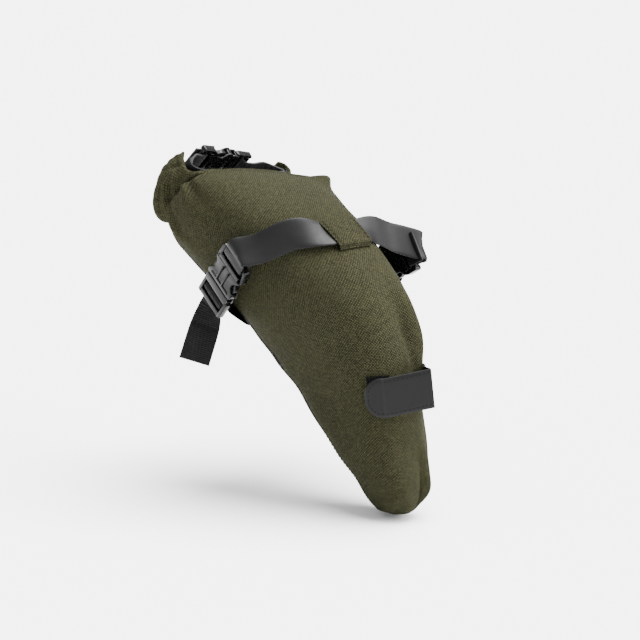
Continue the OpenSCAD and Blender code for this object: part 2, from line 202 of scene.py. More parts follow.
class Buckle:
    """A buckle's frame: its strap bar, and the ways along it, across it and out of it."""

    def __init__(self, bar, along, across):
        self.bar, self.along, self.across = (np.asarray(v, float) for v in (bar, along, across))
        self.out = np.cross(self.along, self.across)

    def place(self, p):
        """Points along, across and out of the buckle, in the frame's axes."""
        p = np.asarray(p, float)
        return (self.bar + p[..., :1] * self.along + p[..., 1:2] * self.across
                + p[..., 2:3] * self.out)


def leaning(degrees, sense):
    """Directions along and across a flank buckle that leans down to the back."""
    c, s = math.cos(math.radians(degrees)), math.sin(math.radians(degrees))
    return np.array([-c, 0, -s]), np.array([s, 0, -c]) * sense


_near, _far = leaning(49, 1), leaning(30, -1)
_top_bar, _top_end = at_mouth([-40, 30, 8]), at_mouth([22, 25, 8])
BUCKLES = {
    "near": Buckle([-130.5, -68.5, 90], *_near),
    "far": Buckle([-75, 65.3, 89], *_far),
    "top": Buckle(_top_bar, unit(_top_end - _top_bar), -ACROSS_MOUTH),
}

# ------------------------------------------------------------------ meshes
def grid_faces(rows, cols, wrap, first=0):
    """Quads over a grid of points, which may close on itself across its columns."""
    i, j = np.meshgrid(np.arange(rows - 1), np.arange(cols if wrap else cols - 1), indexing="ij")
    a, b = i * cols + j, i * cols + (j + 1) % cols
    return np.stack([a, a + cols, b + cols, b], -1).reshape(-1, 4) + first


def turned_out(points, faces):
    """The faces, turned round if the volume they enclose comes out negative."""
    p = points[faces] - points.mean(0)
    volume = np.einsum("ij,ij->", p[:, 0], np.cross(p[:, 1], p[:, 2])
                       + np.cross(p[:, 2], p[:, -1]))
    return faces if volume > 0 else faces[:, ::-1]


class Shell:
    """Points in millimetres with their own UV in metres, and faces, put together piece by piece."""

    def __init__(self):
        self.points, self.uv, self.faces, self.count = [], [], [], 0

    def add(self, points, faces, uv=None):
        """Adds one closed island."""
        points = np.asarray(points, float).reshape(-1, 3)
        uv = points[:, :2] / 1000 if uv is None else np.asarray(uv, float).reshape(-1, 2)
        self.points.append(points)
        self.uv.append(uv)
        self.faces += [np.asarray(f, int) + self.count for f in faces]
        self.count += len(points)

    def build(self, name, place=None, flat=False):
        """A mesh object at the origin, with one UV map, smooth unless flat is set."""
        points = np.concatenate(self.points)
        if place is not None:
            points = place(points)
        uv = np.concatenate(self.uv)
        loops = np.concatenate([f.reshape(-1) for f in self.faces]).astype(np.int32)
        sizes = np.concatenate([np.full(len(f), f.shape[1]) for f in self.faces]).astype(np.int32)
        mesh = bpy.data.meshes.new(name)
        mesh.vertices.add(len(points))
        mesh.vertices.foreach_set("co", (points / 1000).astype(np.float32).ravel())
        mesh.loops.add(len(loops))
        mesh.loops.foreach_set("vertex_index", loops)
        mesh.polygons.add(len(sizes))
        mesh.polygons.foreach_set("loop_start", (np.cumsum(sizes) - sizes).astype(np.int32))
        mesh.polygons.foreach_set("loop_total", sizes)
        mesh.polygons.foreach_set("use_smooth", np.full(len(sizes), not flat))
        layer = mesh.uv_layers.new(name="Cloth")
        layer.data.foreach_set("uv", uv[loops].astype(np.float32).ravel())
        mesh.update(calc_edges=True)
        mesh.validate()
        piece = bpy.data.objects.new(name, mesh)
        bpy.context.scene.collection.objects.link(piece)
        return piece


def tube_faces(points, rows, cols):
    """Quads round a tube's rings and a fan over each end, whose middles are the last points."""
    n = rows * cols
    quads = grid_faces(rows, cols, True)
    k = np.arange(cols)
    after = (k + 1) % cols
    caps = np.concatenate([np.stack([k, after, np.full(cols, n)], 1),
                           np.stack([n - cols + after, n - cols + k, np.full(cols, n + 1)], 1)])
    right = turned_out(points, quads)
    return right, caps if right is quads else caps[:, ::-1]


def tube(shell, rings, uv=None):
    """Adds rings of points (rows, columns, 3) as a closed tube, with a fan over each end."""
    rows, cols = rings.shape[:2]
    points = np.concatenate([rings.reshape(-1, 3), rings[0].mean(0)[None], rings[-1].mean(0)[None]])
    if uv is not None:
        uv = uv.reshape(-1, 2)
        uv = np.concatenate([uv, uv[:1], uv[-1:]])
    shell.add(points, tube_faces(points, rows, cols), uv)


def layered_sheet(shell, outer, inner, uv):
    """Adds two grids of points as the two faces of one sheet, joined along its four edges."""
    rows, cols = outer.shape[:2]
    n = rows * cols
    top, under = grid_faces(rows, cols, False), grid_faces(rows, cols, False, n)[:, ::-1]
    edge = np.concatenate([np.arange(cols), np.arange(1, rows) * cols + cols - 1,
                           (rows - 1) * cols + np.arange(cols - 2, -1, -1),
                           np.arange(rows - 2, 0, -1) * cols])
    after = np.roll(edge, -1)
    rim = np.stack([edge, after, after + n, edge + n], 1)
    points = np.concatenate([outer.reshape(-1, 3), inner.reshape(-1, 3)])
    faces = np.concatenate([top, under, rim])
    uv = uv.reshape(-1, 2)
    shell.add(points, [turned_out(points, faces)], np.concatenate([uv, uv]))


def band_lines(route, per_span):
    """Centres, run, sides, normals and arc length along a route of [place, way across]."""
    places = np.array([r[0] for r in route], float)
    across = np.array([r[1] for r in route], float)
    x = np.linspace(0, len(route) - 1, (len(route) - 1) * per_span + 1)
    centre, side = catmull(places, x), catmull(across, x)
    way = unit(catmull(places, x + 0.04) - catmull(places, x - 0.04))
    normal = unit(np.cross(way, side))
    side = np.cross(normal, way)
    run = np.concatenate([[0], np.cumsum(np.linalg.norm(np.diff(centre, axis=0), axis=1))])
    return centre, way, side, normal, run


def even(lines, step):
    """The same band lines, taken again at even steps of arc length."""
    run = lines[-1]
    s = np.linspace(0, run[-1], max(2, int(run[-1] / step)))
    take = [np.stack([np.interp(s, run, v[:, k]) for k in range(3)], -1) for v in lines[:-1]]
    return (take[0], unit(take[1]), unit(take[2]), unit(take[3]), s)


def band(shell, lines, half_w, half_t, cols=28, square=7.0, ribs=0.0, rib_step=1.6):
    """Adds a flat band: a squared superellipse carried along the lines.

    across = half width * sign(cos)|cos|^(2/n), up = half thickness * sign(sin)|sin|^(2/n).
    ribs adds a cosine of the arc length to the thickness.
    """
    centre, way, side, normal, run = lines
    a = np.linspace(0, 2 * np.pi, cols, endpoint=False)
    c = np.sign(np.cos(a)) * np.abs(np.cos(a)) ** (2 / square)
    s = np.sign(np.sin(a)) * np.abs(np.sin(a)) ** (2 / 2.6)
    half_w = np.broadcast_to(half_w, run.shape)
    half_t = np.broadcast_to(half_t, run.shape) + ribs * np.cos(2 * np.pi * run / rib_step)
    flat = half_w[:, None] * c
    lift = half_t[:, None] * s
    rings = centre[:, None] + side[:, None] * flat[..., None] + normal[:, None] * lift[..., None]
    uv = np.stack([np.broadcast_to(run[:, None], flat.shape), flat + 40 * (s < 0)], -1) / 1000
    tube(shell, rings, uv)


def slab(shell, outline, low, high, dome=0.0, spread=16.0):
    """Adds a prism on a flat outline, whose upper face may bow down by a parabola in y."""
    outline = np.asarray(outline, float)
    area = np.sum(outline[:, 0] * np.roll(outline[:, 1], -1)
                  - np.roll(outline[:, 0], -1) * outline[:, 1])
    if area < 0:
        outline = outline[::-1]
    n = len(outline)
    upper = np.column_stack([outline, high - dome * (outline[:, 1] / spread) ** 2])
    lower = np.column_stack([outline, np.full(n, low)])
    k = np.arange(n)
    walls = np.stack([k, k + n, (k + 1) % n + n, (k + 1) % n], 1)
    ends = np.array([k, (k + n)[::-1]])
    shell.add(np.concatenate([upper, lower]), [walls, ends])


def twin_slabs(shell, outline, low, high, dome, spread):
    """Adds a slab and its twin, turned half a turn about the buckle's run."""
    slab(shell, outline, low, high, dome, spread)
    shell.add(shell.points[-1] * [1, -1, -1], [f - shell.count + len(shell.points[-1])
                                               for f in shell.faces[-2:]])


def mirrored(half):
    """An outline from its y > 0 half, walked back along the other side."""
    half = np.asarray(half, float)
    return np.concatenate([half, half[::-1] * [1, -1]])


def stitches(shell, places, ways, normals, length=2.6, radius=0.42):
    """Adds one small thread to each place: a six-sided spindle whose middle stands proud."""
    rows, cols, n = 5, 6, len(places)
    u = np.linspace(-1, 1, rows)
    a = np.linspace(0, 2 * np.pi, cols, endpoint=False)
    rise = np.sqrt(np.clip(1.02 - u ** 2, 0.02, None))
    local = np.stack([np.broadcast_to(u[:, None] * length / 2, (rows, cols)),
                      radius * rise[:, None] * np.cos(a),
                      radius * rise[:, None] * (0.3 + np.sin(a))], -1)
    ways, normals = (np.broadcast_to(v, (n, 3)) for v in (ways, normals))
    axes = np.stack([ways, np.cross(normals, ways), normals], 1)
    rings = places[:, None, None] + np.einsum("rck,nkj->nrcj", local, axes)
    points = np.concatenate([rings.reshape(n, -1, 3), rings[:, 0].mean(1)[:, None],
                             rings[:, -1].mean(1)[:, None]], 1)
    first = (np.arange(n) * points.shape[1])[:, None, None]
    shell.add(points, [(f + first).reshape(-1, f.shape[1])
                       for f in tube_faces(points[0], rows, cols)])


def finish_piece(piece, body, slot, material, *nodes):
    """Gives the piece its body and its finish, and hides the nodes that it stands for."""
    piece.data.materials.clear()
    piece.data.materials.append(material)
    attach(piece, body)
    if nodes:
        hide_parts(*nodes)
    return piece


def soften(piece, width_mm, segments=3):
    """Rounds a moulded piece's edges with a live bevel."""
    bevel = piece.modifiers.new("Edges", "BEVEL")
    bevel.width = width_mm / 1000
    bevel.segments = segments
    bevel.limit_method = "ANGLE"
    bevel.angle_limit = math.radians(32)
    bevel.harden_normals = False
    return piece


# ------------------------------------------------------------------ finishes
class Finish:
    """A material's node tree, with short ways to add maths, ramps, noise and mixes."""

    def __init__(self, name, roughness, specular):
        self.material = bpy.data.materials.new(name)
        self.material.use_nodes = True
        self.tree = self.material.node_tree
        self.tree.nodes.clear()
        self.shader = self.tree.nodes.new("ShaderNodeBsdfPrincipled")
        out = self.tree.nodes.new("ShaderNodeOutputMaterial")
        self.tree.links.new(self.shader.outputs["BSDF"], out.inputs["Surface"])
        self.shader.inputs["Roughness"].default_value = roughness
        self.shader.inputs["Specular IOR Level"].default_value = specular

    def node(self, kind, inputs=(), **settings):
        """A node with its settings, whose inputs are numbers, colours or other outputs."""
        n = self.tree.nodes.new(kind)
        for key, value in settings.items():
            setattr(n, key, value)
        for key, value in dict(inputs).items():
            if isinstance(value, bpy.types.NodeSocket):
                self.tree.links.new(value, n.inputs[key])
            else:
                n.inputs[key].default_value = value
        return n

    def maths(self, operation, a, b=0.0, c=0.0):
        """One Math node's value."""
        return self.node("ShaderNodeMath", {0: a, 1: b, 2: c}, operation=operation).outputs[0]

    def place(self, source):
        """UV or Object coordinates."""
        return self.node("ShaderNodeTexCoord").outputs[source]

    def noise(self, vector, scale, detail=3.0, roughness=0.55):
        """Noise from 0 to 1."""
        return self.node("ShaderNodeTexNoise", {"Vector": vector, "Scale": scale, "Detail": detail,
                                                "Roughness": roughness}).outputs["Fac"]

    def ramp(self, value, low, high, to_low=0.0, to_high=1.0):
        """The value, stretched from low..high to to_low..to_high and clamped."""
        return self.node("ShaderNodeMapRange", {"Value": value, "From Min": low, "From Max": high,
                                                "To Min": to_low, "To Max": to_high}).outputs[0]

    def mix(self, factor, a, b):
        """Two colours mixed."""
        n = self.node("ShaderNodeMix", {"Factor": factor}, data_type="RGBA")
        for socket, value in ((n.inputs[6], a), (n.inputs[7], b)):
            if isinstance(value, bpy.types.NodeSocket):
                self.tree.links.new(value, socket)
            else:
                socket.default_value = (*value[:3], 1)
        return n.outputs[2]

    def surface(self, colour, height=None, strength=0.5, distance=0.0004, roughness=None):
        """Joins a colour, a bump height and a roughness to the shader."""
        self.tree.links.new(colour, self.shader.inputs["Base Color"])
        if roughness is not None:
            self.tree.links.new(roughness, self.shader.inputs["Roughness"])
        if height is not None:
            bump = self.node("ShaderNodeBump", {"Height": height, "Strength": strength,
                                                "Distance": distance})
            self.tree.links.new(bump.outputs[0], self.shader.inputs["Normal"])
        return self.material


def woven_cloth(name, dark, light, thread):
    """Coarse plain weave on the piece's UV: threads go over and under by turns.

    A warp thread shows where the sum of the whole thread numbers is even, and its height is
    the 0.6 power of |sin| across it. Warp threads are darker than weft. Each thread has its
    own shade, and long slubs vary the cloth. The colour also darkens with the thread height:
    painted shade in the hollows between threads, painted light on their crowns.
    """
    f = Finish(name, 0.85, specular=0.05)
    uv = f.place("UV")
    parts = f.node("ShaderNodeSeparateXYZ", {"Vector": uv})
    wobble = f.maths("MULTIPLY_ADD", f.noise(uv, 200.0, 1.0), 0.35, -0.175)
    u = f.maths("ADD", f.maths("MULTIPLY", parts.outputs[0], 1 / thread), wobble)
    v = f.maths("ADD", f.maths("MULTIPLY", parts.outputs[1], 1 / thread), wobble)
    whole_u, whole_v = f.maths("FLOOR", u), f.maths("FLOOR", v)
    parity = f.maths("FLOORED_MODULO", f.maths("ADD", whole_u, whole_v), 2.0)
    across_u = f.maths("ABSOLUTE", f.maths("SINE", f.maths("MULTIPLY", u, math.pi)))
    across_v = f.maths("ABSOLUTE", f.maths("SINE", f.maths("MULTIPLY", v, math.pi)))
    over = f.node("ShaderNodeMix", {"Factor": parity, 2: across_u, 3: across_v}).outputs[0]
    height = f.maths("POWER", over, 0.6)
    cell = f.node("ShaderNodeCombineXYZ", {"X": whole_u, "Y": whole_v})
    speck = f.node("ShaderNodeTexWhiteNoise", {"Vector": cell.outputs[0]},
                   noise_dimensions="2D").outputs["Value"]
    slub = f.noise(uv, 260.0, 2.0)
    cloud = f.noise(uv, 14.0, 3.0)
    # painted shade: the height's share of the tone darkens the hollows between threads and lightens
    # their crowns
    shade = f.maths("ADD", f.maths("MULTIPLY", height, 0.62), f.maths("MULTIPLY", speck, 0.34))
    for part, share in ((slub, 0.25), (cloud, 0.25), (parity, 0.42)):
        shade = f.maths("ADD", shade, f.maths("MULTIPLY_ADD", part, share, -share / 2))
    colour = f.mix(f.ramp(shade, 0.12, 1.0), dark, light)
    warm = f.ramp(speck, 0.92, 0.95, 0.0, 0.2)
    colour = f.mix(warm, colour, (light[0] * 1.5, light[1] * 1.2, light[2] * 1.5))
    return f.surface(colour, f.maths("ADD", height, f.maths("MULTIPLY", slub, 0.4)), 1.0, 0.0008)


def ribbed_webbing(name, base, rib):
    """Dense webbing: fine ribs across its run and a herringbone of threads, on the UV, with a
    painted highlight on their crowns.
    """
    f = Finish(name, 0.62, specular=0.08)
    uv = f.place("UV")
    parts = f.node("ShaderNodeSeparateXYZ", {"Vector": uv})
    run = f.maths("MULTIPLY", parts.outputs[0], 2 * math.pi / rib)
    across = f.maths("MULTIPLY", parts.outputs[1], 2 * math.pi / 0.0009)
    wave = f.maths("SINE", run)
    threads = f.maths("SINE", f.maths("MULTIPLY_ADD", wave, 1.2, across))
    ribs = f.maths("MULTIPLY_ADD", wave, 0.5, 0.5)
    height = f.maths("ADD", ribs, f.maths("MULTIPLY", threads, 0.3))
    worn = f.noise(uv, 90.0, 4.0)
    # painted highlight: the colour lightens on the rib and thread crowns, and also with the worn
    # noise
    light = tuple(3.0 * c + 0.004 for c in base)
    shade = f.maths("MULTIPLY_ADD", height, 0.5, worn)
    colour = f.mix(f.ramp(shade, 0.35, 1.5), base, light)
    return f.surface(colour, height, 0.5, 0.0003)


def coated_strap(name, base, half_width):
    """Rubbery coated strap: a faint pebble, soft scuffs, and painted shade near black on the rolled
    edges and the lower face, on the UV.
    """
    f = Finish(name, 0.5, specular=0.15)
    uv = f.place("UV")
    parts = f.node("ShaderNodeSeparateXYZ", {"Vector": uv})
    # painted shade: the mask covers the rolled edges and the whole lower face, whose UV is set 40
    # mm off
    edge = f.ramp(f.maths("ABSOLUTE", parts.outputs[1]), half_width - 0.0011, half_width - 0.0002)
    scuff = f.noise(uv, 55.0, 5.0, 0.7)
    pebble = f.noise(uv, 2600.0, 2.0)
    light = tuple(1.35 * c for c in base)
    colour = f.mix(f.ramp(scuff, 0.35, 0.7), base, light)
    # painted shade: the rolled edges and the lower face go near black
    colour = f.mix(edge, colour, (0.003, 0.003, 0.003))
    return f.surface(colour, f.maths("ADD", pebble, f.maths("MULTIPLY", edge, -0.6)), 0.1, 0.0002,
                     f.ramp(scuff, 0.3, 0.7, 0.44, 0.62))


def moulded_plastic(name, base):
    """Moulded acetal: fine spark-eroded grain and scuffs that lighten it a little."""
    f = Finish(name, 0.24, specular=0.17)
    place = f.place("Object")
    grain = f.noise(place, 3800.0, 2.0)
    scuff = f.noise(place, 240.0, 5.0, 0.7)
    light = tuple(2.0 * c + 0.0005 for c in base)
    colour = f.mix(f.ramp(scuff, 0.45, 0.75), base, light)
    return f.surface(colour, grain, 0.04, 0.0001, f.ramp(scuff, 0.3, 0.75, 0.20, 0.36))


def hooked_tape(name, base):
    """Hook and loop tape: a fuzz of tiny loops, from two scales of noise."""
    f = Finish(name, 0.95, specular=0.05)
    place = f.place("Object")
    loops = f.node("ShaderNodeTexVoronoi", {"Vector": place, "Scale": 1100.0}).outputs["Distance"]
    fuzz = f.noise(place, 2400.0, 3.0)
    colour = f.mix(f.ramp(loops, 0.1, 0.6), tuple(3 * c + 0.003 for c in base), base)
    return f.surface(colour, f.maths("ADD", loops, fuzz), 0.9, 0.0006)


def smooth_sheet(name, base, roughness):
    """Smooth coated sheet: faint waves and a little mottling, on Object coordinates."""
    f = Finish(name, roughness, specular=0.12)
    place = f.place("Object")
    wave, mottle = f.noise(place, 60.0, 3.0), f.noise(place, 700.0, 3.0)
    colour = f.mix(f.ramp(mottle, 0.3, 0.7), base, tuple(1.4 * c for c in base))
    return f.surface(colour, f.maths("ADD", wave, f.maths("MULTIPLY", mottle, 0.1)), 0.12, 0.0004)


def sewing_thread(name, base):
    """Twisted thread: fine diagonal ply lines on Object coordinates."""
    f = Finish(name, 0.6, specular=0.08)
    ply = f.noise(f.place("Object"), 3000.0, 2.0)
    colour = f.mix(f.ramp(ply, 0.3, 0.7), base, tuple(1.8 * c + 0.001 for c in base))
    return f.surface(colour, ply, 0.5, 0.0002)


FINISHES = {}


def finish(name):
    """One shared material for each finish, made when it is first asked for."""
    if name not in FINISHES:
        sizes = bpy.context.scene.saddle_bag
        olive, black = tuple(sizes.olive), tuple(sizes.black)
        FINISHES[name] = {
            "olive": lambda: woven_cloth("Olive_cloth", tuple(0.06 * c for c in olive),
                                         tuple(2.7 * c for c in olive), sizes.thread),
            "belly": lambda: woven_cloth("Belly_cloth", (0.0012, 0.0012, 0.0012),
                                         (0.009, 0.0088, 0.0086), sizes.thread),
            "webbing": lambda: ribbed_webbing("Black_webbing", black, 0.0016),
            "strap": lambda: coated_strap("Coated_strap",
                                          tuple(1.35 * c for c in sizes.charcoal), 0.0125),
            "post_strap": lambda: coated_strap("Coated_post_strap",
                                               tuple(0.16 * c for c in sizes.charcoal), 0.015),
            "plastic": lambda: moulded_plastic("Buckle_plastic", tuple(sizes.plastic)),
            "hook": lambda: hooked_tape("Hook_and_loop", black),
            "liner": lambda: smooth_sheet("Liner_cloth", (0.16, 0.16, 0.155), 0.45),
            "board": lambda: smooth_sheet("Stiffener_sheet", (0.0045, 0.0045, 0.0047), 0.55),
            "olive_thread": lambda: sewing_thread("Olive_thread", tuple(0.5 * c for c in olive)),
            "black_thread": lambda: sewing_thread("Black_thread", (0.0012, 0.0012, 0.0013)),
        }[name]()
    return FINISHES[name]


# ------------------------------------------------------------------ cloth pieces
ROLL = np.array([  # front edge, back edge (sideways, out, across), thickness
    [-56, 33, 15, -58, 37, -4, 4], [-62, 26, 16, -65, 31, -9, 6], [-66, 18, 16, -69, 24, -17, 8],
    [-67, 12, 17, -70, 17, -26, 9], [-64, 8, 19, -68, 10, -33, 10], [-58, 7, 21, -62, 4, -36, 11],
    [-46, 6.5, 24, -50, 1, -35, 11], [-30, 5.5, 26, -32, 1, -33, 10], [0, 5, 26.5, 0, 3, -30, 8],
    [28, 4.5, 26, 30, 4, -29, 8], [42, 6, 24, 44, 6, -29, 8], [50, 10, 22, 52, 10, -29, 8],
    [53, 15, 21, 55, 15, -29, 7], [51, 20, 21, 53, 20, -28, 6], [46, 23, 20, 47, 23, -27, 5]])


def cloth_at(t, deg, lift):
    """The filled cloth: the skin with its folds, a rounded nose below t = 0, and a neck above 1.

    Below 0 each ring shrinks about its middle as the root of 1 - s^2 and drops by s mm.
    Above 1 it eases to the oval under the roll, and rises out of the mouth. A tuck is pushed
    in below the near wing, between two pleats, as a bell in both ways.
    """
    t, deg = np.broadcast_arrays(np.asarray(t, float), np.asarray(deg, float))
    inside = np.clip(t, 0, 1)
    tuck = 8.5 * bell(t, 1.004, 0.013) * bell(deg, -87, 3.6)
    pleat = bell(deg, -94.5, 3.6) * bell(t, 0.985, 0.05) + bell(deg, -79, 4) * bell(t, 0.99, 0.04)
    p = skin(inside, deg, folds(inside, deg) + lift + 2.6 * pleat - tuck)
    s = np.clip(-t / NOSE, 0, 1)[..., None]
    middle = (STATIONS[0, [0, 0, 1]] * [1, 0, 1] + STATIONS[0, [2, 2, 3]] * [1, 0, 1]) / 2
    p = middle + (p - middle) * np.maximum(np.sqrt(1 - s ** 2), 0.03)
    p = p + np.array([0.3, 0, -1.0]) * s
    p = p + np.array([0.0, 0, 4.0]) * smooth(0.10 - t, 0, 0.10)[..., None]
    n = np.clip((t - 1) / NECK, 0, 1)
    c, si = np.cos(np.radians(deg)), np.sin(np.radians(deg))
    c, si = (np.sign(v) * np.abs(v) ** (2 / 3.0) for v in (c, si))
    oval = at_mouth(np.stack([-2.5 + (59.5 + lift) * si, 6 + 0 * c,
                              np.where(c > 0, 28.5 + lift, 31 + lift) * c - 1], -1))
    w = smooth(n, 0, 1)[..., None]
    return p * (1 - w) + oval * w + OUT_MOUTH * (5 * n * (1 - n))[..., None]


def cloth_sheet(shell, rows, degrees, thick):
    """Adds one panel between angles as a sheet, with UV from its arc lengths in both ways."""
    t = np.concatenate([-NOSE * np.cos(np.linspace(0, np.pi / 2, 8))[:-1],
                        np.linspace(0, 1, rows), 1 + np.linspace(0, NECK, 9)[1:]])
    tt, dd = np.meshgrid(t, degrees, indexing="ij")
    outer, inner = cloth_at(tt, dd, 0.0), cloth_at(tt, dd, -thick)
    u = np.cumsum(np.linalg.norm(np.diff(outer, axis=1, prepend=outer[:, :1]), axis=-1), axis=1)
    u = u - u[:, [len(degrees) // 2]]
    v = np.cumsum(np.linalg.norm(np.diff(outer, axis=0, prepend=outer[:1]), axis=-1), axis=0)
    v = v.mean(1, keepdims=True) * 0.5 + v * 0.5
    layered_sheet(shell, outer, inner, np.stack([u, v], -1) / 1000)


def seam_route(degrees, low, high, lift, count=90):
    """Places, ways and normals along the seam between two places on the bag."""
    t = np.linspace(low, high, count)
    p, q = cloth_at(t, degrees, lift), cloth_at(t, degrees, lift + 1)
    way = unit(np.gradient(p, axis=0))
    normal = unit(q - p)
    return p, way, unit(normal - way * np.sum(way * normal, -1, keepdims=True))


def make_cloth():
    """The olive panel, the black belly panel and their seam lines."""
    olive, belly, thread = Shell(), Shell(), Shell()
    cloth_sheet(olive, 236, np.linspace(-PANEL_EDGE, PANEL_EDGE, 184), 1.1)
    cloth_sheet(belly, 120, np.linspace(PANEL_EDGE + 0.3, 359.7 - PANEL_EDGE, 64), 1.1)
    finish_piece(olive.build("Olive_panel"), "bag", "olive_cloth", finish("olive"), "main_panel")
    finish_piece(belly.build("Belly_panel"), "bag", "belly_cloth", finish("belly"), "belly_panel")
    for degrees in (-PANEL_EDGE + 3.0, PANEL_EDGE - 3.0):
        p, way, normal = seam_route(degrees, 0.05, 0.97, 0.1, 96)
        stitches(thread, p, way, normal, 2.7, 0.38)
    finish_piece(thread.build("Panel_stitches"), "bag", "olive_cloth", finish("olive_thread"))


def make_liner():
    """The liner: a cup that follows the cloth's folds 5.4 mm in, up outside and down inside."""
    t = np.linspace(0.09, 0.985, 90)
    deg = np.linspace(0, 360, 96, endpoint=False)
    tt, dd = np.meshgrid(t, deg, indexing="ij")
    turned = np.mod(dd + 180, 360) - 180
    fold = np.minimum(folds(tt, turned), 0)
    outer, inner = skin(tt, dd, fold - 5.4), skin(tt, dd, fold - 6.0)
    shell = Shell()
    tube(shell, np.concatenate([outer, inner[::-1]]))
    finish_piece(shell.build("Liner_cup"), "bag", "liner_cloth", finish("liner"), "liner")


def make_roll():
    """The rolled top: a flattened oval between its front and back edges, bent at both ends.

    ring = middle + (front - back) / 2 * C + normal * thickness / 2 * S, with C and S powers of
    the cosine and sine, and folds that fan over the near end as bells across the ring.
    """
    shell = Shell()
    x = np.linspace(0, len(ROLL) - 1, 190)
    s = catmull(ROLL, x)
    front, back = at_mouth(s[:, :3]), at_mouth(s[:, 3:6])
    middle = (front + back) / 2
    half = (front - back) / 2
    way = unit(np.gradient(middle, axis=0))
    normal = unit(np.cross(way, half))
    a = np.linspace(0, 2 * np.pi, 108, endpoint=False)
    c = np.sign(np.cos(a)) * np.abs(np.cos(a)) ** (2 / 2.3)
    k = np.sign(np.sin(a)) * np.abs(np.sin(a)) ** (2 / 2.6)
    thick = np.broadcast_to(s[:, 6:7] / 2, (len(x), len(a))).copy()
    xx = x[:, None]
    outer = (k < 0)[None] * 1.0
    if np.sum(normal[20] * unit(middle[20] - at_mouth([0, 0, 0]))) > 0:
        outer = (k > 0)[None] * 1.0
    lobe = bell(xx, 3.0, 2.4)
    fan = 0.42 - 0.20 * (xx - 2.6)
    thick += outer * lobe * (2.4 * bell(c, fan, 0.13) - 2.0 * bell(c, fan - 0.28, 0.11)
                             + 2.0 * bell(c, fan - 0.55, 0.13) - 1.2 * bell(c, fan - 0.8, 0.1)
                             + 1.0 * bell(c, -0.75, 0.2))
    thick += 0.5 * np.sin(xx * 3.1 + c * 2) * smooth(xx, 0, 1) + 0.35 * np.sin(xx * 7.3 - c * 3)
    dent = outer * bell(xx, 1.75, 0.5) * bell(c, 0.62, 0.2)
    thick -= 4.5 * dent
    rings = (middle[:, None] + half[:, None] * c[..., None]
             + normal[:, None] * (thick * k)[..., None])
    run = np.concatenate([[0], np.cumsum(np.linalg.norm(np.diff(middle, axis=0), axis=1))])
    around = np.linalg.norm(half, axis=1)[:, None] * (c + 2.2 * (k < 0))
    uv = np.stack([around, np.broadcast_to(run[:, None], around.shape)], -1) / 1000
    tube(shell, rings, uv)
    finish_piece(shell.build("Rolled_top"), "bag", "olive_cloth", finish("olive"), "roll_top")


def on_skin(t, degrees, lift):
    """A place over the skin, and the way along the spine there."""
    ahead = skin(t + 0.02, degrees, lift) - skin(t - 0.02, degrees, lift)
    return [skin(t, degrees, lift), unit(ahead)]


def on_buckle(way, buckle, sense=1):
    """A route through a buckle, given along and out of it."""
    return [[buckle.place([p[0], 0, p[1]]), buckle.across * sense] for p in way]


STRAP_LOOP = [[-10, 3.9], [-4, 3.5], [0.8, 3.4], [3.3, 2.4], [4, 0],
              [3.3, -2.4], [0.8, -3.4], [-4, -3.4], [-12, -2]]
WEB_WAY = [[52.3, -5.4], [47, -5.3], [45.4, -2.8], [45.2, -0.5], [44.3, 1.5], [41.75, 2.4],
           [39.2, 1.5], [38.3, -0.5], [38.4, -3.2], [40.2, -6], [44, -8.8], [50, -11]]
BELLY_WAY = [[0.685, -150, 1.6], [0.677, -165, 0.8], [0.668, -180, 0.8], [0.66, -200, 0.8],
             [0.655, -218, 0.8], [0.655, -234, 3]]
STRAP_LIFT, WEB_LIFT = 1.4, 1.25


def make_rail_strap():
    """The coated strap over the ridge, from bar to bar, and the sewn loops at both ends."""
    near, far = BUCKLES["near"], BUCKLES["far"]
    route = (on_buckle(STRAP_LOOP[::-1], far)
             + [[[-78, 49.5, 101.5], far.across], [[-81, 33, 108.5], far.across]]
             + [on_skin(STRAP_AT, 14, STRAP_LIFT + 0.6), on_skin(STRAP_AT, 0, STRAP_LIFT + 0.3),
                on_skin(STRAP_AT, -14, STRAP_LIFT + 0.6),
                [[-95.5, -40, 111.8], [-0.55, -0.2, 0.8]],
                [[-112, -60.5, 101], [-0.62, -0.05, 0.78]]]
             + on_buckle(STRAP_LOOP, near, -1))
    shell = Shell()
    lines = even(band_lines(route, 8), 0.9)
    band(shell, lines, 12.5, 0.9, cols=44, square=9)
    finish_piece(shell.build("Rail_strap"), "bag", "coated_strap", finish("strap"), "rail_strap")


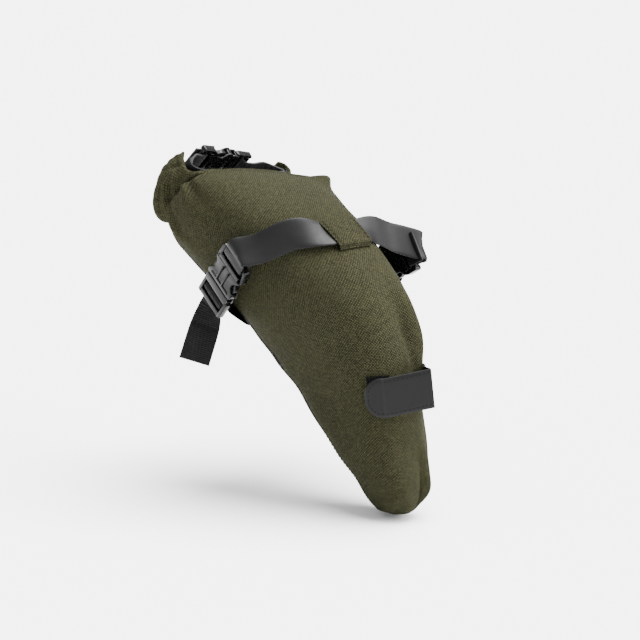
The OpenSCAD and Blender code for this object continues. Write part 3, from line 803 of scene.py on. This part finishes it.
def make_webbing():
    """Ribbed webbing round the belly, woven through both plugs, and its two hanging tails."""
    near, far = BUCKLES["near"], BUCKLES["far"]
    route = (on_buckle(WEB_WAY, near, -1) + [[[-168, -47, 45], [-0.74, -0.1, 0.66]]]
             + [on_skin(t, a, WEB_LIFT + more) for t, a, more in BELLY_WAY]
             + [[[-129, 56, 55], far.across]] + on_buckle(WEB_WAY[::-1], far))
    shell = Shell()
    band(shell, even(band_lines(route, 8), 0.4), 12.4, 0.62, cols=32, ribs=0.14)
    finish_piece(shell.build("Belly_webbing"), "bag", "webbing", finish("webbing"), "belly_webbing")
    start, hang, along = near.place([55, 0, -5.2]), unit([-0.04, -0.37, -0.93]), near.along
    near_tail = [[start, near.across], [start + along * 5 + [0, -0.8, 0], near.across],
                 [start + along * 7 + hang * 12, [0.7, 0.3, -0.62]],
                 [start + along * 6 + hang * 26.4, [0.66, 0.45, -0.58]],
                 [start + along * 5 + hang * 44, [0.64, 0.54, -0.54]]]
    start, hang, along = far.place([53.6, 0, -5.2]), unit([-0.6, 0.35, -0.7]), far.along
    far_tail = [[start, far.across], [start + along * 5 + [0, 0.8, 0], far.across],
                [start + along * 8 + hang * 12, [-0.6, 0.1, 0.8]],
                [start + along * 8 + hang * 26.4, [-0.66, 0.16, 0.74]],
                [start + along * 8 + hang * 44, [-0.7, 0.2, 0.68]]]
    for name, route in (("near_tail", near_tail), ("far_tail", far_tail)):
        shell, thread = Shell(), Shell()
        lines = even(band_lines(route, 10), 0.3)
        band(shell, lines, 12.4, 0.62, cols=36, ribs=0.22)
        piece = shell.build(name.capitalize() + "_webbing")
        finish_piece(piece, name + "_body", "webbing", finish("webbing"), name)
        centre, way, side, normal, run = lines
        at = np.searchsorted(run, run[-1] * 0.42)
        across = np.linspace(-11, 11, 17)[:, None]
        zig = np.where(np.arange(17) % 2, 1, -1)[:, None]
        turn = unit(side[at] - way[at] * 0.9 * zig)
        for face in (1, -1):
            p = centre[at] + side[at] * across + way[at] * 1.1 * zig + normal[at] * face * 0.75
            stitches(thread, p, turn, normal[at] * face, 2.9, 0.36)
        thread_piece = thread.build(name.capitalize() + "_bar_tack")
        finish_piece(thread_piece, name + "_body", "webbing", finish("black_thread"))


def make_strap_patch():
    """The cloth patch sewn over the strap on the ridge: flat over it, falling to the skin."""
    t = np.linspace(-0.032, 0.032, 64)
    deg = np.linspace(-13.5, 13.5, 56)
    tt, dd = np.meshgrid(t, deg, indexing="ij")
    over = smooth(0.0325 - np.abs(tt), 0, 0.008)
    lift = 1.3 + 3.5 * over - 0.6 * bell(np.abs(dd), 11.5, 0.8)
    lift = lift + (0.25 * np.sin(tt * 190) + folds(STRAP_AT + tt, dd)) * (1 - over)
    outer = skin(STRAP_AT + tt, dd, lift)
    inner = skin(STRAP_AT + tt, dd, lift - 0.9)
    u = np.broadcast_to((deg - deg[0]) * 1.26, tt.shape)
    v = np.broadcast_to(((t - t[0]) * 540)[:, None], tt.shape)
    shell, thread = Shell(), Shell()
    layered_sheet(shell, outer, inner, np.stack([u, v], -1) / 1000)
    finish_piece(shell.build("Strap_patch"), "bag", "olive_cloth", finish("olive"), "strap_patch")

    def sew(ts, ds):
        """A row of stitches over the patch along places and angles."""
        high = 3.5 * smooth(0.0325 - np.abs(ts), 0, 0.008) + 1.35
        p = skin(STRAP_AT + ts, ds, high - 0.1)
        q = skin(STRAP_AT + ts, ds, high + 0.9)
        stitches(thread, p, unit(np.gradient(p, axis=0)), unit(q - p), 2.2, 0.3)

    line = np.linspace(-0.027, 0.027, 8)
    for angle in (-12, -10.4, 10.4, 12):
        sew(line, np.full(8, angle))
    for edge in (-0.0285, 0.0285):
        sew(np.full(9, edge), np.linspace(-11, 11, 9))
    for way in (1, -1):
        sew(np.linspace(-0.024, 0.024, 9), way * np.linspace(-9.5, 9.5, 9))
    finish_piece(thread.build("Patch_stitches"), "bag", "olive_cloth", finish("olive_thread"))


def make_post_strap():
    """The flap that closes round the seat post, its rounded end, its stitching, and the base."""
    forward = np.array([POST_AXIS[2], 0, -POST_AXIS[0]])

    def at_post(f, y):
        """A place in the strap's plane, forward and sideways of the seat post's axis."""
        return forward * f + np.array([0, y, 0])

    route = [[skin(FLAP_AT, a, 4.3), POST_AXIS] for a in (-54, -46, -34, -24)]
    route += [[at_post(9.4, 7.4), POST_AXIS]]
    lines = even(band_lines(route, 10), 0.5)
    run = lines[-1]
    rounded = np.sqrt(np.clip(1 - ((13 - run) / 13.4) ** 2, 0.02, 1))
    half_w = 15 * np.where(run < 13, rounded, 1)
    half_t = 0.9 * (1 - 0.5 * bell(run, 0, 1.2))
    side = np.broadcast_to(POST_AXIS, lines[2].shape)
    lines = (*lines[:2], side, unit(np.cross(lines[1], side)), run)
    shell, thread = Shell(), Shell()
    band(shell, lines, half_w, half_t, cols=56, square=8)
    finish_piece(shell.build("Post_strap_flap"), "post_flap_body", "coated_strap",
                 finish("post_strap"), "post_strap_flap")
    centre, way, side, normal, _ = lines
    if normal[30] @ np.array([0.73, -0.65, 0.2]) < 0:
        normal = -normal
    inset = 12.4 * np.sqrt(np.clip(1 - ((13 - np.minimum(run, 13)) / 10.4) ** 2, 0, 1))
    keep = run > 2.6
    rows = [(centre + side * (inset * sign)[:, None] + normal * 0.8)[keep] for sign in (1, -1)]
    loop = np.concatenate([rows[0][::-1], rows[1]])
    loop_n = np.concatenate([normal[keep][::-1], normal[keep]])
    length = np.concatenate([[0], np.cumsum(np.linalg.norm(np.diff(loop, axis=0), axis=1))])
    s = np.arange(1.5, length[-1] - 1, 3.4)
    p = np.stack([np.interp(s, length, loop[:, k]) for k in range(3)], -1)
    q = np.stack([np.interp(s + 0.3, length, loop[:, k]) for k in range(3)], -1)
    n = unit(np.stack([np.interp(s, length, loop_n[:, k]) for k in range(3)], -1))
    stitches(thread, p, unit(q - p), n, 2.5, 0.32)
    finish_piece(thread.build("Flap_stitches"), "post_flap_body", "coated_strap",
                 finish("black_thread"))
    base = [[-34, 33.8], [-25, 31.6], [-15.5, 25.5], [-8.5, 17.5], [0, 12.6], [7.3, 8.4]]
    shell = Shell()
    band(shell, even(band_lines([[at_post(*p), POST_AXIS] for p in base], 8), 0.7), 15, 0.9,
         cols=48, square=9)
    finish_piece(shell.build("Post_strap_base"), "bag", "coated_strap", finish("post_strap"),
                 "post_strap_base")
    t, deg = np.meshgrid(np.linspace(0.371, 0.440, 24), np.linspace(-47.5, -20, 30), indexing="ij")
    rise = np.minimum(folds(t, deg), 0.3)
    shell = Shell()
    layered_sheet(shell, skin(t, deg, 1.5 + rise), skin(t, deg, 0.2 + rise),
                  np.stack([deg, t * 300], -1) / 1000)
    finish_piece(shell.build("Loop_tape"), "bag", "hook_and_loop", finish("hook"), "loop_patch")
    t, deg = np.meshgrid(np.linspace(0.379, 0.423, 20), np.linspace(-43, -23, 24), indexing="ij")
    shell = Shell()
    layered_sheet(shell, skin(t, deg, 3.2), skin(t, deg, 2.3), np.stack([deg, t * 300], -1) / 1000)
    finish_piece(shell.build("Hook_tape"), "post_flap_body", "hook_and_loop", finish("hook"),
                 "hook_tape")


# ------------------------------------------------------------------ buckle pieces
SOCKET_EDGE = [[9, 17], [11, 16.2], [13.5, 12.9], [16, 11.8], [18.5, 11.9], [20.5, 13.0],
               [23, 15.9], [25, 16.8], [27.4, 16.7], [28.4, 15.8]]
PRONG = np.array([[30.6, 8.6], [24, 8.5], [18.4, 8.4], [15.5, 8.5], [13.4, 9], [12.8, 10],
                  [12.8, 11.4], [14.4, 13], [16.4, 14.6], [18, 15.3], [19.4, 15.4], [21.2, 15.2],
                  [22.6, 14.6], [22.9, 13.2], [22.9, 12], [23.8, 11.2], [27, 11.3], [30.6, 11.4]])


def socket_shell():
    """The socket: strap bar, two arms, throat block, scalloped plates, posts and a middle rib."""
    s = Shell()
    slab(s, [[-2.6, -15], [2, -15], [2, 15], [-2.6, 15]], -2, 2)
    arm = np.array([[9.2, 17], [-1.4, 17], [-2.6, 15.8], [-2.6, 13.2], [9.2, 13.2]])
    slab(s, arm[:4], -3.2, 3.2)  # this arm is a wedge, without its twin's inner corner
    slab(s, arm * [1, -1], -3.2, 3.2)
    slab(s, [[5.6, -14], [9.2, -14], [9.2, 14], [5.6, 14]], -4.2, 4.2)
    twin_slabs(s, mirrored(SOCKET_EDGE), 2.7, 5.2, 1.2, 17)
    for sign in (1, -1):
        slab(s, [[23.6, 13.3 * sign], [28.2, 13.3 * sign], [28.2, 15.9 * sign],
                 [24.6, 15.9 * sign]], -3, 3)
        slab(s, np.array([[9, 13.3], [11, 13.3], [10.6, 16.2], [9, 16.9]]) * [1, sign], -3, 3)
        slab(s, [[10.5, 3.2 * sign], [25.5, 3.2 * sign], [25.5, 4.6 * sign],
                 [10.5, 4.6 * sign]], 4.6, 5.7)
    slab(s, [[24.2, -12.5], [26.6, -12.5], [26.6, 12.5], [24.2, 12.5]], 3.4, 5.6, 1.0, 17)
    return s


def plug_shell():
    """The plug: two plates over the prongs' roots, side rails, the webbing's bars and tongue."""
    s = Shell()
    rim = [[28.9, 14.4], [30, 15.4], [33.6, 15.4], [35.4, 15.0]]
    twin_slabs(s, mirrored(rim), 2.5, 4.9, 0.8, 16)
    slab(s, mirrored([[33.2, 14.8], [36.2, 14.8]]), -3.6, 3.6)
    for sign in (1, -1):
        slab(s, np.array([[34.5, 13.4], [51.0, 13.4], [51.5, 14.2], [50.4, 16.4], [36, 16.4],
                          [34.5, 15.4]]) * [1, sign], -2.6, 2.6)
    slab(s, mirrored([[40.4, 14], [43.1, 14]]), -1.6, 0.9)
    slab(s, mirrored([[47.1, 14], [51.2, 14]]), -2.0, 2.3)
    slab(s, mirrored([[13, 2.4], [15, 3.4], [29.5, 4.2]]), -1.7, 1.7)
    return s


def make_buckles():
    """Each buckle's socket and plug, and its two prongs on their own bodies."""
    for key, buckle in BUCKLES.items():
        socket = soften(socket_shell().build(key.capitalize() + "_socket", buckle.place, True), 0.7)
        plug = soften(plug_shell().build(key.capitalize() + "_plug", buckle.place, True), 0.6)
        finish_piece(socket, "bag", "buckle_plastic", finish("plastic"), key + "_buckle_socket")
        finish_piece(plug, "bag", "buckle_plastic", finish("plastic"), key + "_buckle_plug")
        first = 1 if key == "near" else -1
        for end, sign in (("front", first), ("rear", -first)):
            shell = Shell()
            slab(shell, PRONG * [1, sign], -2.1, 2.1)
            name = key + "_prong_" + end
            piece = soften(shell.build(name.capitalize() + "_arm", buckle.place, True), 0.55)
            finish_piece(piece, name + "_body", "buckle_plastic", finish("plastic"), name)
        for piece in (socket, plug):
            piece.data.polygons.foreach_set("use_smooth", np.ones(len(piece.data.polygons), bool))


CARRIED = {  # nodes whose own shape is right, with the finish that each one takes
    "seam_tape": "black_tape", "mouth_stiffener": "board", "near_wing_tab": "strap",
    "far_wing_tab": "strap", "belly_board": "board"}


def finish_carried():
    """Gives the carried-over nodes their finishes, on Object coordinates."""
    tab = smooth_sheet("Coated_tab", tuple(bpy.context.scene.saddle_bag.charcoal), 0.5)
    tape = smooth_sheet("Seam_tape_film", (0.004, 0.004, 0.004), 0.6)
    for node, name in CARRIED.items():
        material = {"strap": tab, "black_tape": tape}.get(name) or finish(name)
        piece = bpy.data.objects[node]
        piece.data.materials.clear()
        piece.data.materials.append(material)


# ------------------------------------------------------------------ the stage
VIEW_TARGET = np.array([-0.090, -0.018, 0.042])


def make_stage():
    """A wide pale floor just under the nose, soft lights, and the camera."""
    sizes = bpy.context.scene.saddle_bag
    scene = bpy.context.scene
    low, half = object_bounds()[0][2] - 0.0006, 60.0
    mesh = bpy.data.meshes.new("Floor")
    mesh.from_pydata([(-half, -half, low), (half, -half, low), (half, half, low),
                      (-half, half, low)], [], [(0, 1, 2, 3)])
    floor = bpy.data.objects.new("Floor", mesh)
    scene.collection.objects.link(floor)
    f = Finish("Pale_floor", 0.9, specular=0.0)
    f.shader.inputs["Base Color"].default_value = (*sizes.floor, 1)
    floor.data.materials.append(f.material)
    floor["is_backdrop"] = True
    world = bpy.data.worlds.new("Studio")
    scene.world = world
    world.use_nodes = True
    back = world.node_tree.nodes["Background"]
    back.inputs["Color"].default_value = (1, 1, 1, 1)
    back.inputs["Strength"].default_value = sizes.fill_light

    def lamp(name, azimuth, elevation, softness, strength):
        """A far light with a wide disc, that comes from a bearing and a height."""
        data = bpy.data.lights.new(name, "SUN")
        data.angle, data.energy = math.radians(softness), strength
        a, e = math.radians(azimuth), math.radians(elevation)
        way = np.array([math.cos(e) * math.cos(a), math.cos(e) * math.sin(a), math.sin(e)])
        piece = bpy.data.objects.new(name, data)
        piece.rotation_euler = Vector(way).to_track_quat("Z", "Y").to_euler()
        scene.collection.objects.link(piece)

    lamp("Top_light", 75, 76, 46, sizes.key_light)
    lamp("Right_light", 35, 30, 40, sizes.key_light * 0.36)
    lens = bpy.data.cameras.new("Camera")
    lens.lens, lens.sensor_width = 100, 36
    lens.clip_end = 300
    camera = bpy.data.objects.new("Camera", lens)
    way = np.array([0.7269, -0.6545, 0.2079])
    camera.location = VIEW_TARGET + 1.39 * unit(way)
    camera.rotation_euler = Vector(way).to_track_quat("Z", "Y").to_euler()
    scene.collection.objects.link(camera)
    scene.camera = camera


# ------------------------------------------------------------------ the add-on
class SaddleBagSettings(bpy.types.PropertyGroup):
    """The sizes and colours of the saddle bag."""

    thread: FloatProperty(name="Thread", description="Distance from thread to thread in the cloth",
                          default=0.00115, min=0.0005, max=0.003, unit="LENGTH")
    olive: FloatVectorProperty(name="Olive cloth", description="Colour of the main cloth",
                               default=(0.0136, 0.0137, 0.0065), subtype="COLOR", min=0, max=1)
    charcoal: FloatVectorProperty(name="Coated strap", description="Colour of the coated straps",
                                  default=(0.0160, 0.0160, 0.0164), subtype="COLOR", min=0, max=1)
    black: FloatVectorProperty(name="Webbing", description="Colour of the webbing and tape",
                               default=(0.0016, 0.0016, 0.0017), subtype="COLOR", min=0, max=1)
    plastic: FloatVectorProperty(name="Buckles", description="Colour of the moulded buckles",
                                 default=(0.0016, 0.0016, 0.0017), subtype="COLOR", min=0, max=1)
    floor: FloatVectorProperty(name="Floor", description="Colour of the studio floor",
                               default=(0.88, 0.88, 0.88), subtype="COLOR", min=0, max=1)
    fill_light: FloatProperty(name="Fill light", description="Strength of the light from all round",
                              default=1.1, min=0, max=10)
    key_light: FloatProperty(name="Key light", description="Strength of the main light",
                             default=15.5, min=0, max=20)


class SADDLEBAG_OT_cloth(bpy.types.Operator):
    """Makes the olive and belly panels and their stitches."""

    bl_idname = "saddlebag.cloth"
    bl_label = "Cloth panels"
    bl_options = {"REGISTER", "UNDO"}

    def execute(self, context):
        make_cloth()
        return {"FINISHED"}


class SADDLEBAG_OT_liner(bpy.types.Operator):
    """Makes the liner cup inside the cloth."""

    bl_idname = "saddlebag.liner"
    bl_label = "Liner"
    bl_options = {"REGISTER", "UNDO"}

    def execute(self, context):
        make_liner()
        return {"FINISHED"}


class SADDLEBAG_OT_roll(bpy.types.Operator):
    """Makes the rolled and folded top."""

    bl_idname = "saddlebag.roll"
    bl_label = "Rolled top"
    bl_options = {"REGISTER", "UNDO"}

    def execute(self, context):
        make_roll()
        return {"FINISHED"}


class SADDLEBAG_OT_rail_strap(bpy.types.Operator):
    """Makes the strap from bar to bar over the ridge."""

    bl_idname = "saddlebag.rail_strap"
    bl_label = "Rail strap"
    bl_options = {"REGISTER", "UNDO"}

    def execute(self, context):
        make_rail_strap()
        return {"FINISHED"}


class SADDLEBAG_OT_webbing(bpy.types.Operator):
    """Makes the belly webbing and its two tails."""

    bl_idname = "saddlebag.webbing"
    bl_label = "Webbing"
    bl_options = {"REGISTER", "UNDO"}

    def execute(self, context):
        make_webbing()
        return {"FINISHED"}


class SADDLEBAG_OT_patch(bpy.types.Operator):
    """Makes the sewn patch and its stitches."""

    bl_idname = "saddlebag.patch"
    bl_label = "Strap patch"
    bl_options = {"REGISTER", "UNDO"}

    def execute(self, context):
        make_strap_patch()
        return {"FINISHED"}


class SADDLEBAG_OT_post_strap(bpy.types.Operator):
    """Makes the seat post's flap, base and tapes."""

    bl_idname = "saddlebag.post_strap"
    bl_label = "Post strap"
    bl_options = {"REGISTER", "UNDO"}

    def execute(self, context):
        make_post_strap()
        return {"FINISHED"}


class SADDLEBAG_OT_buckles(bpy.types.Operator):
    """Makes the three buckles."""

    bl_idname = "saddlebag.buckles"
    bl_label = "Buckles"
    bl_options = {"REGISTER", "UNDO"}

    def execute(self, context):
        make_buckles()
        return {"FINISHED"}


class SADDLEBAG_OT_carried(bpy.types.Operator):
    """Gives the carried-over pieces their finishes."""

    bl_idname = "saddlebag.carried"
    bl_label = "Inner pieces"
    bl_options = {"REGISTER", "UNDO"}

    def execute(self, context):
        finish_carried()
        return {"FINISHED"}


class SADDLEBAG_OT_stage(bpy.types.Operator):
    """Makes the floor, lights and camera."""

    bl_idname = "saddlebag.stage"
    bl_label = "Stage"
    bl_options = {"REGISTER", "UNDO"}

    def execute(self, context):
        make_stage()
        return {"FINISHED"}


STEPS = [SADDLEBAG_OT_cloth, SADDLEBAG_OT_liner, SADDLEBAG_OT_roll, SADDLEBAG_OT_rail_strap,
         SADDLEBAG_OT_webbing, SADDLEBAG_OT_patch, SADDLEBAG_OT_post_strap, SADDLEBAG_OT_buckles,
         SADDLEBAG_OT_carried, SADDLEBAG_OT_stage]


class SADDLEBAG_PT_panel(bpy.types.Panel):
    """Lists the settings and the steps that make the bag."""

    bl_idname = "SADDLEBAG_PT_panel"
    bl_label = "Saddle bag"
    bl_space_type = "VIEW_3D"
    bl_region_type = "UI"
    bl_category = "Saddle bag"

    def draw(self, context):
        """Draws the settings and one button for each step."""
        sizes = context.scene.saddle_bag
        for name in SaddleBagSettings.__annotations__:
            self.layout.prop(sizes, name)
        for step in STEPS:
            self.layout.operator(step.bl_idname)


CLASSES = [SaddleBagSettings, *STEPS, SADDLEBAG_PT_panel]


def register():
    """Registers the classes and the scene's settings."""
    for each in CLASSES:
        bpy.utils.register_class(each)
    bpy.types.Scene.saddle_bag = PointerProperty(type=SaddleBagSettings)


def unregister():
    """Takes the settings and the classes away again."""
    del bpy.types.Scene.saddle_bag
    for each in reversed(CLASSES):
        bpy.utils.unregister_class(each)


def main():
    """Makes every piece in order."""
    register()
    for step in STEPS:
        getattr(bpy.ops.saddlebag, step.bl_idname.split(".")[1])()


if __name__ == "__main__":
    main()
